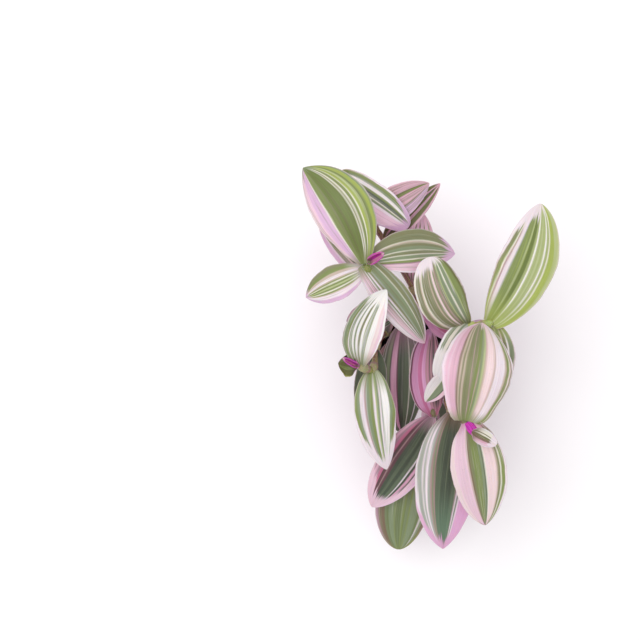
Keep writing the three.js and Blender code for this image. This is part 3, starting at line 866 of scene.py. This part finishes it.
# -------- pot and soil
def pot_profile():
    """Radius and height round the pot's wall, from the axis underneath to the axis inside."""
    base, lip, top, wall, floor = (POT[key] for key in ("base", "lip", "height", "wall", "floor"))
    outer, under = POT["shoulder"], top - POT["lip_height"]
    foot = 1.4
    side = [(base + (outer - base) * t, foot + (under - foot) * t) for t in np.linspace(0, 1, 12)]
    return [
        (0, 0), (base - 1.6, 0), (base - 0.7, 0.12), (base - 0.15, 0.7), *side,
        (lip - 0.7, under + 0.02), (lip - 0.2, under + 0.3), (lip, under + 1),
        (lip, top - 1.1), (lip - 0.12, top - 0.5), (lip - 0.42, top - 0.1), (lip - 0.85, top),
        (lip - 1.3, top - 0.1), (lip - 1.7, top - 0.6), (lip - 1.9, top - 1.4),
        (lip - 2.1, under + 1.6), (outer - wall + 0.2, under), (outer - wall, under - 1),
        (base - wall + 0.2, floor + 1), (base - wall - 0.6, floor), (0, floor),
    ]


def pot_piece():
    shape = Shape()
    turned(shape, pot_profile(), around=144)
    pot = shape.piece("pot_shell", [pot_material()], sharp=35)
    drills = Shape()
    for k in range(DRAIN["count"]):
        angle = 2 * pi * (k + 0.5) / DRAIN["count"]
        x, y = DRAIN["circle"] * cos(angle), DRAIN["circle"] * sin(angle)
        line = np.array([(x, y, z) for z in (-1.0, 1.0, POT["floor"] + 1)])
        tube(drills, line, [DRAIN["radius"]] * 3, around=32)
    drill = drills.piece("drills", [])
    cut = pot.modifiers.new("holes", "BOOLEAN")
    cut.operation, cut.object, cut.solver = "DIFFERENCE", drill, "EXACT"
    graph = bpy.context.evaluated_depsgraph_get()
    drilled = bpy.data.meshes.new_from_object(pot.evaluated_get(graph))
    pot.modifiers.clear()
    pot.data = drilled
    bpy.data.objects.remove(drill)
    pot.data.set_sharp_from_angle(angle=radians(35))
    return pot


def soil_height(x, y):
    """The uneven top of the soil, as in the plain solid, with finer lumps added."""
    broad = np.sin(0.9 * x + 1.3 * y) + np.sin(1.7 * y - 0.6 * x) + np.cos(2.3 * x + 0.4 * y)
    fine = np.sin(3.1 * x - 2.2 * y) * np.sin(2.7 * y + 1.9 * x)
    fine = fine + 0.6 * np.sin(6.3 * x + 1.1) * np.sin(5.7 * y)
    return SOIL_TOP + 0.37 * broad + 0.22 * fine


def soil_piece():
    """Potting mix: a filled body with an uneven top, and loose crumbs on it."""
    floor = POT["floor"] + SOIL_GAP
    taper = (POT["shoulder"] - POT["base"]) / (POT["height"] - POT["lip_height"] - POT["floor"])
    bottom = POT["base"] - POT["wall"] - 2 * SOIL_GAP
    top = bottom + taper * (SOIL_TOP - floor)
    around, rings = 150, 44
    angle = whole_turn(around)
    shape = Shape()
    radii = [bottom, bottom, top - 0.4] + [top * (1 - (r / rings) ** 1.1) for r in range(rings)]
    levels = [floor, floor + 0.1, SOIL_TOP - 1.1] + [None] * rings
    points = []
    for radius, level in zip(radii, levels):
        x, y = radius * np.cos(angle), radius * np.sin(angle)
        z = soil_height(x, y) if level is None else np.full(around, float(level))
        points.append(np.stack([x, y, z], axis=1))
    points = np.array(points)
    first = shape.grid(points, np.linspace(0, 1, around + 1), np.linspace(0, 1, len(points)), around=True)
    shape.fans(first, len(points), around, (0, 0, floor), (0, 0, float(soil_height(0.0, 0.0))))
    add_crumbs(shape, top - 1.0)
    materials = [
        soil_material("soil_peat", "#0B0807", "#2A2019", 900.0),
        soil_material("soil_bark", "#1A120D", "#4A3426", 700.0),
        soil_material("soil_grit", "#8F867C", "#C9C3BA", 1200.0),
    ]
    return shape.piece("soil_fill", materials, sharp=60)


def lump(detail):
    """Points and faces of a ball of the given detail."""
    ball = bmesh.new()
    bmesh.ops.create_icosphere(ball, subdivisions=detail, radius=1)
    points = np.array([vertex.co[:] for vertex in ball.verts])
    faces = [[vertex.index for vertex in face.verts] for face in ball.faces]
    ball.free()
    return points, faces


def add_crumbs(shape, reach):
    """Loose lumps of peat, bark and grit, partly sunk in the top of the soil and clear of the stems."""
    rng = random.Random(7)
    stems = [path[0] for path in PATHS.values()]
    for detail, count, least, most, slot in CRUMBS:
        ball, faces = lump(detail)
        for _ in range(count):
            radius, angle = reach * sqrt(rng.random()), rng.uniform(0, 2 * pi)
            x, y = radius * cos(angle), radius * sin(angle)
            size = rng.uniform(least, most)
            if any(hypot(x - a, y - b) < STEM_RADIUS + size for a, b in stems):
                continue
            stretch = np.array([rng.uniform(0.7, 1.5), rng.uniform(0.6, 1.1), rng.uniform(0.5, 0.9)])
            rough = np.array([1 + rng.uniform(-0.25, 0.25) for _ in ball])
            turn = rng.uniform(0, 2 * pi)
            body = ball * stretch * rough[:, None] * size
            turned_x = body[:, 0] * cos(turn) - body[:, 1] * sin(turn)
            turned_y = body[:, 0] * sin(turn) + body[:, 1] * cos(turn)
            z = float(soil_height(x, y)) + 0.3 * size
            first = shape.add_points(np.stack([x + turned_x, y + turned_y, z + body[:, 2]], axis=1))
            for face in faces:
                shape.add_face([first + k for k in face], slot=slot)


# -------- the pieces
def place(piece, node, slot):
    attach(piece, ROOT)
    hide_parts(node)


def leaf_piece(name, leaf, number, back):
    return blade(leaf, number).piece(name, [leaf_material(name, leaf, number), back])


def build_plant():
    """The stems with their leaves and furls. Each leaf or furl has a number that seeds its randomness."""
    back, skin, fuzz = back_material(), stem_material(), hair_material()
    brown = [(0.32, "#8A9458"), (0.46, "#A3A56C"), (0.56, "#A9987C"), (0.68, "#93746C")]
    fresh = [(0.32, "#8FA04C"), (0.46, "#A5B25E"), (0.56, "#B4BC74"), (0.68, "#A09A66")]
    sheaths = [sheath_material("leaf_sheath", brown), sheath_material("leaf_sheath_fresh", fresh)]
    number = 0
    for seed, (side, leaves) in enumerate(LEAVES.items()):
        node = f"leafy_stem_{side}"
        materials = [skin, sheaths[side in FRESH], fuzz]
        place(stem_shape(side, seed).piece(f"stem_{side}", materials), node, "leaf")
        for leaf_name, own in leaves.items():
            number += 1
            leaf = dict(USUAL, **own)
            name = f"leaf_{side}_{leaf_name}"
            under = furl_material(f"{name}_back", 0.0) if leaf["rolled"] else back
            place(leaf_piece(name, leaf, number, under), node, "leaf")
        if side in FURLS:
            number += 1
            name = f"furl_{side}"
            young = furl_material(f"{name}_back", FURL_MAGENTA)
            place(leaf_piece(name, FURLS[side], number, young), node, "leaf")


def build_stage():
    """A plain pale floor, soft light from all round and a wide soft light from the upper left."""
    mesh = bpy.data.meshes.new("floor")
    turns = ((-1, -1), (1, -1), (1, 1), (-1, 1))
    corners = [(x * FLOOR["half"], y * FLOOR["half"], FLOOR["z"]) for x, y in turns]
    mesh.from_pydata(corners, [], [(0, 1, 2, 3)])
    floor = linked("floor", mesh)
    n = Nodes("floor_paint")
    mesh.materials.append(n.finish(colour="#F9F8FA", roughness=0.9, specular=0.1))

    world = bpy.data.worlds.new("studio")
    bpy.context.scene.world = world
    world.use_nodes = True
    background = world.node_tree.nodes["Background"]
    background.inputs["Color"].default_value = (1.0, 0.985, 0.98, 1.0)
    background.inputs["Strength"].default_value = 0.9

    lamp = bpy.data.lights.new("window", "AREA")
    lamp.shape, lamp.size, lamp.size_y = "RECTANGLE", WINDOW["width"], WINDOW["depth"]
    lamp.energy = WINDOW["watts"]
    light = linked("window", lamp)
    light.location = WINDOW["place"]
    light.rotation_euler = (-light.location).to_track_quat("-Z", "Y").to_euler()


def build_camera():
    data = bpy.data.cameras.new("camera")
    data.sensor_width = 36.0
    data.lens = data.sensor_width * CAMERA["focal"] / CAMERA["picture"]
    camera = linked("camera", data)
    camera.location = (CAMERA["x"] * MM, CAMERA["y"] * MM, CAMERA["z"] * MM)
    bpy.context.scene.camera = camera


build_camera()
bpy.context.scene.view_settings.view_transform = "Standard"
place(pot_piece(), "pot", "pot")
place(soil_piece(), "soil", "soil")
build_plant()
build_stage()
